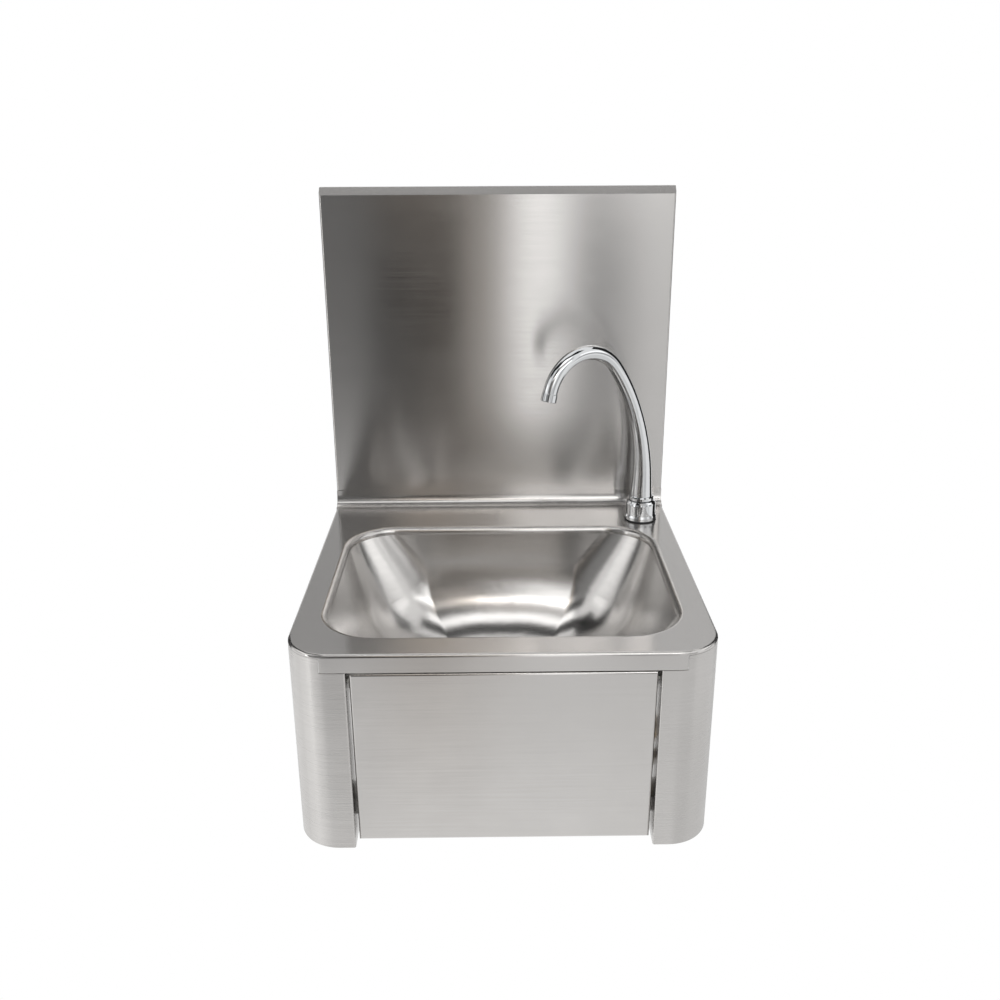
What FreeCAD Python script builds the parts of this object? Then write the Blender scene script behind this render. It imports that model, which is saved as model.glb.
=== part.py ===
"""Knee operated hand wash sink: a wall hung basin of folded and pressed stainless sheet.

The front panel hangs on a rod between the two corner posts. Pushed in by the knee, it presses the
plunger of a self closing valve, which feeds a swan neck spout through a bent tube.

Frame: X to the right, Y into the wall with the wall at Y = 0, Z up from the upper wall holes. Millimetres.
"""
import FreeCAD, Part
import math
import os

os.makedirs("parts", exist_ok=True)
V = FreeCAD.Vector
X_AXIS = V(1, 0, 0)
Y_AXIS = V(0, 1, 0)
Z_AXIS = V(0, 0, 1)

# ---------------------------------------------------------------- driving dimensions
# Overall
width = 400.0            # across the deck
depth = 400.0            # wall to the deck's front edge
back_height = 376.0      # deck to the top of the splashback
body_height = 209.0      # deck to the foot of the side panels
deck_top = 60.0          # deck above the upper wall holes
standoff = 16.0          # wall to the splashback's face

# Sheet and clearances
sheet = 1.2              # stainless sheet
seat = 0.3               # gap between pieces that lie against each other
running = 0.06           # radial gap of a turning or sliding fit
fastener_gap = 0.2       # radial gap round a bolt, a thread or a tube's end
chamfer = 1.0            # turned parts
small_chamfer = 0.5      # their thinner rims

# Deck
corner_r = 42.0          # plan radius of the front corners
edge_bend = 3.0          # bend along the deck's edge
edge_land = 0.7          # flat below that bend, at the sides and corners
flange_drop = 18.0       # turned down front edge
flange_end = 34.0        # deck's side to the flange's end, a little way round the corner
seam = 0.7               # gap between the flange and the posts
cove_r = 12.0            # rear cove
upstand = 18.0           # rear upstand above the deck

# Bowl
bowl_side = 30.0         # deck's side to the bowl
bowl_setback = 98.0      # wall to the bowl
bowl_margin = 37.0       # deck's front edge to the bowl
bowl_corner = 52.0       # plan radius of the bowl's corners
floor_straight = 11.5    # half the straight run across the floor, where it would meet the walls
bowl_depth = 126.0       # deck to the floor
bowl_lip = 8.0           # depth of the deck's own turned lip
lip_bend = 6.0           # rounding from the deck into the lip
wall_slope = 6.0         # degrees from vertical, at the bowl's front and back
side_slope = 20.0        # the same at its sides
floor_round = 0.845      # bend from wall to floor, as a share of the floor's corner radius
wall_round = 1.63        # its limit, as a share of the wall's height, where the corners narrow to the rim

# Splashback
top_fold = 8.0           # slanted fold along the top
back_lip = 12.0          # lip that lies on the wall
back_bend = 2.4          # vertical bends
back_drop = 20.0         # how far it runs down behind the upstand

# Side panels and posts
post_inset = 57.0        # deck's side to the knee panel's opening
panel_set = 1.5          # knee panel's face behind the posts' faces
post_return = 28.0       # post's inner wall
post_lip = 12.0          # lip behind the post's inner wall
wall_lip = 20.0          # lip on the wall
foot_lip = 15.0          # lip around the foot

# Knee panel and its hinge
panel_gap = 3.0          # panel to post
top_gap = 1.6            # panel to deck flange
panel_rise = 5.0         # panel's foot above the posts' feet
panel_lip = 12.0         # panel's top and bottom lips
panel_bend = 2.4         # bends round the panel's face
hinge_setback = 16.0     # deck's front edge to the hinge rod
hinge_drop = 34.0        # deck to the hinge rod
hang = 1.5               # degrees that the panel hangs inward at rest
swing = 5.0              # degrees that the knee pushes it further
rod_r = 3.0
rod_nut_across = 10.0
rod_nut_height = 5.0
bush_r = 5.0
bush_flange_r = 8.0
bush_flange = 1.6
bush_length = 8.0
stop_rise = 19.0         # stop pads above the panel's foot
stop_height = 16.0
stop_r = 4.5
stop_thickness = 2.0
channel_width = 30.0     # backing channel behind the push pad
channel_height = 8.0
channel_brim = 7.0
pad_r = 14.0
pad_thickness = 5.0

# Valve, on a bracket under the bowl
valve_aside = 72.0       # spout's axis to the valve's axis, across the basin
valve_gap = 2.8          # bracket's foot to the valve
plunger_r = 4.0
plunger_depth = 22.0     # plunger inside the neck at rest
cap_r = 10.0
cap_thickness = 8.0
cap_dome = 2.0
cap_gap = 0.4            # pad to cap at rest
valve_neck_r = 12.5
valve_neck = 12.0        # neck in front of the bracket
plunger_spare = 1.5      # cap to neck at full stroke
locknut_across = 32.0
locknut_height = 6.0
valve_r = 17.0
valve_length = 60.0
outlet_r = 8.5
outlet_length = 12.0
outlet_setback = 44.0    # bracket to the outlet
tube_socket = 7.0        # how far the feed tube goes into the outlet
union_across = 27.0
union_height = 12.0
bracket_sheet = 2.0
bracket_width = 64.0
bracket_foot = 36.0
bracket_rim = 5.0        # bracket above the valve
rail_height = 8.0        # cross rail
rail_width = 40.0
rail_sheet = 1.5
screw_r = 2.5
screw_head_r = 4.4
screw_head = 3.0
screw_grip = 6.0         # bracket screw below the rail's top

# Mixing body behind the valve
mixer_r = 15.0
mixer_length = 48.0
branch_r = 8.0
branch_length = 8.0
check_across = 24.0
check_length = 12.0
inlet_r = 10.3
inlet_length = 12.0
inlet_bore_r = 7.0
stub_inset = 0.5         # threaded stub inside its nut's bore
spindle_r = 4.0
knob_r = 13.0
knob_height = 11.0
knob_gap = 1.0           # mixing body to the knob
knob_lobes = 6

# Feed tube
tube_r = 5.0
tube_bore_r = 4.0
tube_bend = 24.0
tube_nut_across = 17.0
tube_nut_height = 11.0
tube_grip = 5.0          # feed tube inside the spout's shank

# Spout
tap_inset = 33.0         # deck's side to the spout's axis
tap_bowl_gap = 27.0      # bowl's rear edge to the spout's axis
base_r = 18.5
base_height = 23.0
base_neck_r = 15.5
gasket_thickness = 1.5
shank_r = 10.5
shank_drop = 52.0        # shank below the deck
tap_washer_r = 18.0
tap_washer = 2.5
backnut_across = 30.0
backnut_height = 7.0
spigot_r = 10.5          # swivel spigot in the base
spigot_length = 13.0
spigot_bore_r = 7.0
socket_step = 2.0        # step between the base's socket and the shank's seat
groove = 2.2             # seal grooves in the spigot
collar_r = 14.8
collar_height = 5.0
pipe_foot_r = 12.6
pipe_tip_r = 7.9
pipe_taper = 0.4         # share of the neck over which it narrows
pipe_wall = 1.2
neck_straight = 54.0     # deck to the first bend
neck_bend_r = 223.0
neck_bend = 38.0         # degrees
crook_r = 50.0
crook = 128.0            # degrees
neck_sections = 6        # circles that the tapered part is drawn through
spout_turn = 33.0        # degrees from the splashback's plane, towards the front
aerator_r = 8.5
aerator_height = 9.0
aerator_bore_r = 7.0
aerator_insert = 3.0
mouth_rim = 1.0          # aerator's rim past its insert

# Waste
recess_r = 34.0
recess_depth = 3.6
strainer_r = 32.0
strainer_rim = 2.2
strainer_spigot_r = 16.5
strainer_spigot = 8.0    # length of the strainer's spigot
strainer_wall = 1.5
strainer_holes = 10
strainer_hole_r = 2.56
strainer_ring_r = 10.5
seal_thickness = 1.6
lower_seal = 3.0
waste_flange = 4.0
waste_flange_r = 31.0    # also the seals' outer radius
waste_shoulder = 8.0     # from the flange down to the tail's thread
tail_r = 20.95
tail_bore_r = 18.0
tail_drop = 46.0
waste_screw_r = 3.0
waste_screw_head_r = 5.5
waste_screw_head = 2.0
waste_boss_r = 6.0
waste_boss_drop = 8.0
waste_boss_height = 10.0
waste_rib = 3.0

# Rails at the wall
wall_rail_length = 320.0
wall_rail_sheet = 2.0
wall_rail_below = 16.0   # plate under the upper holes
wall_rail_above = 12.0   # plate over the upper holes, up to its bend
hook_offset = 6.0        # wall to the back of the upturned edge
hook_height = 14.0
hook_sheet = 1.5
hook_leg = 24.0
wall_hole_r = 4.5
wall_hole_spacing = 240.0
lower_hole_rise = 24.0   # foot of the side panels to the lower wall holes
lower_rail_height = 30.0
lower_rail_foot = 20.0

# ---------------------------------------------------------------- places that follow from them
deck_under = deck_top - sheet
deck_foot = deck_top - flange_drop
body_foot = deck_top - body_height
back_top = deck_top + back_height
cove_start = -standoff - sheet - cove_r

bowl_length = width - 2 * bowl_side
bowl_width = depth - bowl_margin - bowl_setback
bowl_y = -depth + bowl_margin + bowl_width / 2
bowl_floor = deck_top - bowl_depth
floor_x = bowl_length / 2 - (bowl_depth - bowl_lip) * math.tan(math.radians(side_slope))
floor_y = bowl_width / 2 - (bowl_depth - bowl_lip) * math.tan(math.radians(wall_slope))
floor_corner = min(floor_x, floor_y) - floor_straight
wall_limit = wall_round * (bowl_depth - bowl_lip) * bowl_corner / floor_corner
floor_bend = min(floor_round * floor_corner, wall_limit)
recess_floor = bowl_floor - recess_depth

side_x = width / 2
side_y = -depth
flange_half = side_x - flange_end
side_inner = side_x - sheet
edge_foot = deck_top - edge_bend - edge_land
side_top = edge_foot - seat
opening_x = side_x - post_inset
post_back = side_y + post_return

panel_x = opening_x - panel_gap
panel_top = deck_foot - top_gap
panel_foot = body_foot + panel_rise
panel_y = side_y + panel_set
panel_back = panel_y + sheet
hinge_y = -depth + hinge_setback
hinge_z = deck_top - hinge_drop

tap_x = side_x - tap_inset
tap_y = -bowl_setback + tap_bowl_gap
valve_x = tap_x - valve_aside
rail_top = body_foot + sheet + rail_height
valve_z = rail_top + bracket_sheet + valve_gap + valve_r
stroke_lever = hinge_z - valve_z
crest = panel_back + channel_height + sheet
pad_face = crest + pad_thickness


def pad_reach(angle):
    """Where the push pad's face meets the valve's axis with the panel turned by an angle."""
    turn = math.radians(angle)
    return hinge_y + (pad_face - hinge_y) / math.cos(turn) + stroke_lever * math.tan(turn)


stroke = pad_reach(hang + swing) - pad_reach(hang)
cap_front = pad_reach(hang) + cap_gap
neck_front = cap_front + cap_thickness + stroke + plunger_spare
bracket_front = neck_front + valve_neck
bracket_back = bracket_front + bracket_sheet
valve_back = bracket_back + valve_length
outlet_y = bracket_back + outlet_setback
outlet_end = valve_x + valve_r + outlet_length
tube_start = outlet_end - tube_socket
mixer_front = valve_back + union_height + 2 * seat
mixer_y = mixer_front + mixer_length / 2
branch_end = mixer_r + branch_length
knob_top = valve_z - mixer_r - knob_gap
rail_front = bracket_front + bracket_sheet

base_foot = deck_top + gasket_thickness
base_top = base_foot + base_height
collar_foot = base_top + seat
pipe_foot = collar_foot + collar_height
neck_rise = deck_top + neck_straight - pipe_foot
neck_length = neck_rise + neck_bend_r * math.radians(neck_bend) + crook_r * math.radians(crook)
crook_start = 1 - crook_r * math.radians(crook) / neck_length
spout_turned = math.radians(180 + spout_turn)
spout_toward = V(math.cos(spout_turned), math.sin(spout_turned), 0)
spout_hinge = Z_AXIS.cross(spout_toward)
shank_foot = deck_top - shank_drop
shank_top = base_top - spigot_length - socket_step - seat

waste_hole_r = strainer_spigot_r + 1.5
seal_top = recess_floor + seal_thickness
body_top = recess_floor - sheet - lower_seal


# ---------------------------------------------------------------- shapes
def path_edges(corners, closed):
    """Runs between corners (point, radius), each corner rounded by its radius."""
    count = len(corners)
    bends = []
    for i, (point, radius) in enumerate(corners):
        if radius <= 0 or (not closed and i in (0, count - 1)):
            bends.append((point, None, point))
            continue
        back = (corners[i - 1][0] - point).normalize()
        ahead = (corners[(i + 1) % count][0] - point).normalize()
        half = back.getAngle(ahead) / 2
        cut = radius / math.tan(half)
        middle = point + (back + ahead).normalize() * (radius / math.sin(half) - radius)
        bends.append((point + back * cut, middle, point + ahead * cut))
    edges = []
    for i, (start, middle, end) in enumerate(bends):
        if middle is not None:
            edges.append(Part.Arc(start, middle, end).toShape())
        following = bends[(i + 1) % count][0]
        if (closed or i < count - 1) and end.distanceToPoint(following) > 1e-6:
            edges.append(Part.LineSegment(end, following).toShape())
    return edges


def bent_strip(corners, thickness):
    """Outline of a bent sheet: one face follows corners (u, v, bend radius), the other lies to its left."""
    runs = [V(b[0] - a[0], b[1] - a[1], 0).normalize() for a, b in zip(corners, corners[1:])]
    normals = [V(-run.y, run.x, 0) for run in runs]
    other = []
    for i, (u, v, bend) in enumerate(corners):
        before = normals[max(i - 1, 0)]
        after = normals[min(i, len(normals) - 1)]
        shift = (before + after) * (thickness / (1 + before.dot(after)))
        turn = runs[max(i - 1, 0)].cross(runs[min(i, len(runs) - 1)]).z
        inner = max(bend - thickness, 0) if turn > 0 else bend + thickness
        other.append((u + shift.x, v + shift.y, inner if bend > 0 else 0))
    return list(corners) + other[::-1]


def prism(corners, along, start, end):
    """A closed outline (u, v, radius) drawn square to an axis and pushed from start to end along it."""
    put = {
        "x": lambda u, v: V(start, u, v),
        "y": lambda u, v: V(u, start, v),
        "z": lambda u, v: V(u, v, start),
    }[along]
    push = {"x": X_AXIS, "y": Y_AXIS, "z": Z_AXIS}[along] * (end - start)
    wire = Part.Wire(path_edges([(put(u, v), radius) for u, v, radius in corners], True))
    return Part.Face(wire).extrude(push)


def box(x0, x1, y0, y1, z0, z1):
    return Part.makeBox(x1 - x0, y1 - y0, z1 - z0, V(x0, y0, z0))


def rod(radius, start, end):
    return Part.makeCylinder(radius, (end - start).Length, start, end - start)


def placed(shape, at, axis):
    """A shape drawn about Z at the origin, moved so that Z lies along the axis."""
    shape.Placement = FreeCAD.Placement(at, FreeCAD.Rotation(Z_AXIS, axis))
    return shape


def turned(profile, at, axis):
    """A lathe part: closed profile (radius, height, chamfer) about the axis."""
    points = []
    for i, (r, h, chamfer) in enumerate(profile):
        here = V(r, 0, h)
        if chamfer <= 0:
            points.append(here)
            continue
        for r_2, h_2, _ in (profile[i - 1], profile[(i + 1) % len(profile)]):
            points.append(here + (V(r_2, 0, h_2) - here).normalize() * chamfer)
    wire = Part.makePolygon(points + points[:1])
    return placed(Part.Face(wire).revolve(V(0, 0, 0), Z_AXIS, 360), at, axis)


def ring(outer, inner, at, axis, height, chamfer=0.0):
    profile = [(inner, 0, 0), (outer, 0, chamfer), (outer, height, chamfer), (inner, height, 0)]
    return turned(profile, at, axis)


def hex_nut(across, height, bore, at, axis):
    """A hexagon with its corners chamfered on both faces, and a round bore."""
    corner = across / math.sqrt(3)
    angles = [math.radians(60 * i) for i in range(6)]
    outline = [(corner * math.cos(a), corner * math.sin(a), 0) for a in angles]
    chamfer = corner - across / 2
    drop = chamfer * math.tan(math.radians(30))
    faces = [(bore, 0, 0), (across / 2, 0, 0), (corner, drop, 0), (corner, height - drop, 0)]
    faces += [(across / 2, height, 0), (bore, height, 0)]
    nut = prism(outline, "z", 0, height).common(turned(faces, V(0, 0, 0), Z_AXIS))
    return placed(nut, at, axis)


def chosen_edges(shape, test):
    """Edges whose ends and middle all pass the test."""
    picked = []
    for edge in shape.Edges:
        middle = edge.valueAt((edge.FirstParameter + edge.LastParameter) / 2)
        if all(test(p) for p in [v.Point for v in edge.Vertexes] + [middle]):
            picked.append(edge)
    return picked


def near(a, b):
    return abs(a - b) < 1e-4


def mirrored(shape):
    return shape.mirror(V(0, 0, 0), X_AXIS)


# ---------------------------------------------------------------- bowl and deck
def bowl_outline(half_x, half_y, corner, z):
    x, y = half_x, half_y
    plan = [(-x, bowl_y - y), (x, bowl_y - y), (x, bowl_y + y), (-x, bowl_y + y)]
    return Part.Wire(path_edges([(V(u, v, z), corner) for u, v in plan], True))


def bowl_block(skin):
    """The bowl's hollow, or with skin its outside: sloping walls with one large bend into the floor."""
    slopes = [math.radians(side_slope), math.radians(wall_slope)]
    rim_out = [skin / math.cos(slope) for slope in slopes]
    floor_out = [out - skin * math.tan(slope) for out, slope in zip(rim_out, slopes)]
    rim_x, rim_y = bowl_length / 2 + rim_out[0], bowl_width / 2 + rim_out[1]
    rim = bowl_outline(rim_x, rim_y, bowl_corner + rim_out[1], deck_top - bowl_lip)
    flat_x, flat_y = floor_x + floor_out[0], floor_y + floor_out[1]
    floor = bowl_outline(flat_x, flat_y, floor_corner + floor_out[1], bowl_floor - skin)
    block = Part.makeLoft([rim, floor], True, True)
    return block.makeFillet(floor_bend + skin, chosen_edges(block, lambda p: near(p.z, bowl_floor - skin)))


def make_bowl():
    outside = bowl_block(sheet)
    cup = rod(recess_r + sheet, V(0, bowl_y, recess_floor - sheet), V(0, bowl_y, bowl_floor))
    bowl = outside.fuse(cup).cut(bowl_block(0))
    bowl = bowl.cut(rod(recess_r, V(0, bowl_y, recess_floor), V(0, bowl_y, bowl_floor + sheet)))
    return bowl.cut(rod(waste_hole_r, V(0, bowl_y, recess_floor - 2 * sheet), V(0, bowl_y, bowl_floor)))


def deck_block(inset, foot, top, rear):
    x = width / 2 - inset
    front = -depth + inset
    corner = corner_r - inset
    plan = [(-x, rear, 0), (-x, front, corner), (x, front, corner), (x, rear, 0)]
    block = prism(plan, "z", foot, top)
    rim = [e for e in chosen_edges(block, lambda p: near(p.z, top)) if not near(e.CenterOfMass.y, rear)]
    return block.makeFillet(edge_bend - inset, rim)


def make_deck():
    deck = deck_block(0, deck_foot, deck_top, cove_start)
    deck = deck.cut(deck_block(sheet, deck_foot - sheet, deck_under, cove_start + sheet))

    # The flange hangs only along the front. Round the corners and sides the edge is a small bend.
    for start, end in ((-width, -flange_half), (flange_half, width)):
        deck = deck.cut(box(start, end, -depth - sheet, 0, deck_foot - sheet, edge_foot))

    # Rear cove and upstand, with a cheek that closes each end under the cove.
    face = -standoff - sheet
    cove = [(face, deck_top + upstand, 0), (face, deck_top, cove_r), (cove_start, deck_top, 0)]
    deck = deck.fuse(prism(bent_strip(cove[::-1], -sheet), "x", -width / 2, width / 2))
    cheek = [(cove_start, edge_foot, 0), (-standoff, edge_foot, 0), (-standoff, deck_top + cove_r, 0)]
    cheek += [(-standoff, deck_under, cove_r + sheet), (cove_start, deck_under, 0)]
    for start in (-width / 2, width / 2 - sheet):
        deck = deck.fuse(prism(cheek, "x", start, start + sheet))

    # Bowl opening with its lip turned down to meet the bowl.
    x, y = bowl_length / 2, bowl_width / 2
    lip_foot = deck_top - bowl_lip
    collar = Part.Face(bowl_outline(x + sheet, y + sheet, bowl_corner + sheet, lip_foot))
    opening = Part.Face(bowl_outline(x, y, bowl_corner, lip_foot)).extrude(Z_AXIS * 2 * bowl_lip)
    deck = deck.fuse(collar.extrude(Z_AXIS * bowl_lip)).cut(opening).removeSplitter()

    def by_opening(p, spare):
        return abs(p.x) < x + spare and abs(p.y - bowl_y) < y + spare

    under = chosen_edges(deck, lambda p: near(p.z, deck_under) and by_opening(p, 2 * sheet))
    deck = deck.makeFillet(lip_bend - sheet, under)
    rim = chosen_edges(deck, lambda p: near(p.z, deck_top) and by_opening(p, sheet))
    deck = deck.makeFillet(lip_bend, rim)
    return deck.cut(rod(shank_r + 2 * seat, V(tap_x, tap_y, deck_foot), V(tap_x, tap_y, deck_top + sheet)))


# ---------------------------------------------------------------- splashback, sides and rails
def back_outline(inset, foot, back):
    slant = inset * math.tan(math.radians(22.5))
    face = -standoff + inset
    return [
        (back, foot, 0),
        (back, back_top - inset, 0),
        (-standoff + top_fold + slant, back_top - inset, 0),
        (face, back_top - top_fold - slant, 0),
        (face, foot, 0),
    ]


def make_splashback():
    foot = deck_top - back_drop
    x = width / 2
    pan = prism(back_outline(0, foot, 0), "x", -x, x)
    bends = chosen_edges(pan, lambda p: near(abs(p.x), x) and near(p.y, -standoff))
    pan = pan.makeFillet(back_bend, bends)
    pan = pan.cut(prism(back_outline(sheet, foot - sheet, -sheet), "x", -x + sheet, x - sheet))
    pan = pan.cut(box(-x + back_lip, x - back_lip, -2 * sheet, sheet, foot - sheet, back_top - back_lip))
    pan = pan.cut(box(-x + sheet, x - sheet, -2 * sheet, sheet, foot - sheet, deck_top))
    for start, end in ((-x, -side_inner + seat), (side_inner - seat, x)):
        pan = pan.cut(box(start, end, -standoff - sheet, 0, foot - sheet, edge_foot))
    return pan


def make_side():
    """The right side: wall lip, side, rounded corner, post face, inner wall and its lip, and a foot lip."""
    corner = corner_r
    side = [
        (opening_x + post_lip, post_back, 0),
        (opening_x, post_back, 1.5 * sheet),
        (opening_x, side_y, 1.5 * sheet),
        (side_x, side_y, corner),
        (side_x, 0, 1.5 * sheet),
        (side_x - wall_lip, 0, 0),
    ]
    panel = prism(bent_strip(side, sheet), "z", body_foot, side_top)
    notch_x, notch_z = flange_half + seam, deck_foot - seam
    panel = panel.cut(box(0, notch_x, -depth - sheet, post_back + sheet, notch_z, deck_top))
    foot = [(opening_x + sheet, side_y, 0), (side_x, side_y, corner), (side_x, -sheet, 0)]
    panel = panel.fuse(prism(bent_strip(foot, foot_lip), "z", body_foot, body_foot + sheet))
    hole_start = V(opening_x - sheet, hinge_y, hinge_z)
    panel = panel.cut(rod(rod_r + fastener_gap, hole_start, hole_start + X_AXIS * 3 * sheet))
    return panel.cut(wall_hole(side_x - wall_lip / 2, body_foot + lower_hole_rise)).removeSplitter()


def wall_hole(x, z):
    return rod(wall_hole_r, V(x, -standoff, z), V(x, sheet, z))


def make_wall_rail():
    """The rail screwed to the wall: a flat plate with its top edge stepped forward and turned up."""
    step = hook_offset
    rail = [
        (0, -wall_rail_below, 0),
        (0, wall_rail_above, wall_rail_sheet),
        (-step, wall_rail_above + step, 2 * wall_rail_sheet),
        (-step, wall_rail_above + step + hook_height, 0),
    ]
    half = wall_rail_length / 2
    plate = prism(bent_strip(rail, wall_rail_sheet), "x", -half, half)
    for x in (-wall_hole_spacing / 2, wall_hole_spacing / 2):
        plate = plate.cut(wall_hole(x, 0))
    return plate


def make_hook_rail():
    """The rail on the basin: an upside down trough that drops over the wall rail's turned up edge."""
    back = -hook_offset + seat + hook_sheet
    front = -hook_offset - wall_rail_sheet - seat - hook_sheet
    top = wall_rail_above + hook_offset + hook_height + seat + hook_sheet
    hook = [(back, top - hook_leg / 2, 0), (back, top, 0), (front, top, 0), (front, top - hook_leg, 0)]
    return prism(bent_strip(hook, hook_sheet), "x", -side_inner, side_inner)


def make_lower_rail():
    """An angle along the foot of the back, between the side panels and against their wall lips."""
    foot = body_foot + sheet
    top = foot + lower_rail_height
    angle = [(-lower_rail_foot, foot, 0), (-sheet, foot, 2 * rail_sheet), (-sheet, top, 0)]
    end = side_inner - sheet
    return prism(bent_strip(angle, rail_sheet), "x", -end, end)


def make_cross_rail():
    """An upside down channel between the side panels' foot lips, under the valve bracket."""
    foot = body_foot + sheet
    front = rail_front
    channel = [(front + rail_width, foot, 0), (front + rail_width, rail_top, 2 * rail_sheet)]
    channel += [(front, rail_top, 2 * rail_sheet), (front, foot, 0)]
    rail = prism(bent_strip(channel, rail_sheet), "x", -side_inner, side_inner)
    for start in bracket_screw_places():
        rail = rail.cut(rod(screw_r + fastener_gap, start, start - Z_AXIS * rail_height))
    return rail


# ---------------------------------------------------------------- knee panel
def hung(shape):
    """The panel and what it carries, turned to where it hangs at rest."""
    shape.rotate(V(0, hinge_y, hinge_z), X_AXIS, hang)
    return shape


def before_hanging(y, z):
    """Where something must be drawn at height z to lie at y once the panel hangs."""
    angle = math.radians(hang)
    return hinge_y + (y - hinge_y + (z - hinge_z) * math.sin(angle)) / math.cos(angle)


def stop_place():
    """The front of the ears that carry the stop pads, and the pads' height."""
    stop_z = panel_foot + stop_rise
    rest = post_back + seat + stop_thickness + stop_r * math.sin(math.radians(hang))
    return before_hanging(rest, stop_z), stop_z


def make_knee_panel():
    """A pan of folded sheet: deep sides with the stop ears, shallow lips at the top and the foot."""
    ear_y, stop_z = stop_place()
    x = panel_x
    back = ear_y + sheet
    pan = box(-x, x, panel_y, back, panel_foot, panel_top)
    pan = pan.makeFillet(panel_bend, chosen_edges(pan, lambda p: near(p.y, panel_y)))
    pan = pan.cut(box(-x + sheet, x - sheet, panel_back, back + sheet, panel_foot + sheet, panel_top - sheet))
    lips = panel_back + panel_lip
    pan = pan.cut(box(-x + sheet, x - sheet, lips, back + sheet, panel_foot - sheet, panel_top + sheet))
    ear_x = opening_x + post_lip - sheet
    for start, end in ((-ear_x, -x + sheet), (x - sheet, ear_x)):
        pan = pan.fuse(box(start, end, ear_y, back, stop_z - stop_height / 2, stop_z + stop_height / 2))
    hinge_hole = rod(bush_r + running, V(-x - sheet, hinge_y, hinge_z), V(x + sheet, hinge_y, hinge_z))
    return hung(pan.cut(hinge_hole).removeSplitter())


def make_stop_pads():
    ear_y, stop_z = stop_place()
    middle = (panel_x + sheet + opening_x + post_lip) / 2
    pads = [
        rod(stop_r, V(x, ear_y - stop_thickness, stop_z), V(x, ear_y, stop_z)) for x in (-middle, middle)
    ]
    return hung(Part.makeCompound(pads))


def make_backing_channel():
    """A top hat section across the panel's back, with its crest behind the push pad."""
    half = channel_width / 2
    draft = channel_height / 4
    section = [
        (panel_back, valve_z + half + channel_brim, 0),
        (panel_back, valve_z + half, sheet),
        (panel_back + channel_height, valve_z + half - draft, 2 * sheet),
        (panel_back + channel_height, valve_z - half + draft, 2 * sheet),
        (panel_back, valve_z - half, sheet),
        (panel_back, valve_z - half - channel_brim, 0),
    ]
    end = panel_x - sheet - seat
    return hung(prism(bent_strip(section, sheet), "x", -end, end))


def make_push_pad():
    return hung(ring(pad_r, screw_r, V(valve_x, crest, valve_z), Y_AXIS, pad_thickness, pad_thickness / 3))


def make_bush():
    """The right bush: a sleeve in the panel's side with a flange towards the post."""
    bore = rod_r + running
    sleeve = [
        (bore, 0, 0),
        (bush_r, 0, small_chamfer),
        (bush_r, bush_length, 0),
        (bush_flange_r, bush_length, 0),
        (bush_flange_r, bush_length + bush_flange, small_chamfer),
        (bore, bush_length + bush_flange, 0),
    ]
    return turned(sleeve, V(panel_x - bush_length, hinge_y, hinge_z), X_AXIS)


def make_hinge_rod():
    end = opening_x + sheet + rod_nut_height + rod_r
    return rod(rod_r, V(-end, hinge_y, hinge_z), V(end, hinge_y, hinge_z))


def make_hinge_nuts():
    at = V(opening_x + sheet, hinge_y, hinge_z)
    nut = hex_nut(rod_nut_across, rod_nut_height, rod_r + fastener_gap, at, X_AXIS)
    return Part.makeCompound([mirrored(nut), nut])


# ---------------------------------------------------------------- valve and its bracket
def bracket_screw_places():
    y = bracket_back + bracket_foot * 0.6
    return [V(valve_x + side * bracket_width * 0.33, y, rail_top) for side in (-1, 1)]


def make_valve_bracket():
    top = valve_z + valve_r + bracket_rim
    angle = [(bracket_front, top, 0), (bracket_front, rail_top, 2 * bracket_sheet)]
    angle += [(bracket_front + bracket_foot, rail_top, 0)]
    half = bracket_width / 2
    bracket = prism(bent_strip(angle, bracket_sheet), "x", valve_x - half, valve_x + half)
    corners = chosen_edges(bracket, lambda p: near(p.z, top) and near(abs(p.x - valve_x), half))
    bracket = bracket.makeFillet(half / 3, corners)
    neck_start = V(valve_x, neck_front, valve_z)
    bracket = bracket.cut(rod(valve_neck_r + fastener_gap, neck_start, neck_start + Y_AXIS * 2 * valve_neck))
    for start in bracket_screw_places():
        bracket = bracket.cut(rod(screw_r + fastener_gap, start, start + Z_AXIS * 2 * bracket_sheet))
    return bracket


def make_bracket_screws():
    screws = []
    for place in bracket_screw_places():
        top = place + Z_AXIS * bracket_sheet
        r, h = screw_head_r, screw_head
        head = turned([(0, 0, 0), (r, 0, 0), (r, h, chamfer), (0, h, 0)], top, Z_AXIS)
        screws.append(head.fuse(rod(screw_r, place - Z_AXIS * screw_grip, top)))
    return Part.makeCompound(screws)


def make_valve_body():
    """A turned body with a threaded neck, a side outlet and a stub for the union nut."""
    bore = plunger_r + running
    neck = valve_neck + bracket_sheet
    end = neck + valve_length
    stub = union_height / 2 - seat
    profile = [
        (bore, 0, 0),
        (valve_neck_r, 0, chamfer),
        (valve_neck_r, neck, 0),
        (valve_r, neck, chamfer),
        (valve_r, end, chamfer),
        (inlet_r - stub_inset, end, 0),
        (inlet_r - stub_inset, end + stub, small_chamfer),
        (0, end + stub, 0),
        (0, plunger_depth + stroke + plunger_spare, 0),
        (bore, plunger_depth + stroke + plunger_spare, 0),
    ]
    body = turned(profile, V(valve_x, neck_front, valve_z), Y_AXIS)
    boss = rod(outlet_r, V(valve_x + valve_r / 2, outlet_y, valve_z), V(outlet_end, outlet_y, valve_z))
    body = body.fuse(boss)
    socket_end = V(outlet_end, outlet_y, valve_z)
    return body.cut(rod(tube_r + fastener_gap, socket_end, V(tube_start - seat, outlet_y, valve_z)))


def make_valve_locknut():
    at = V(valve_x, bracket_front - locknut_height, valve_z)
    return hex_nut(locknut_across, locknut_height, valve_neck_r + fastener_gap, at, Y_AXIS)


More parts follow.
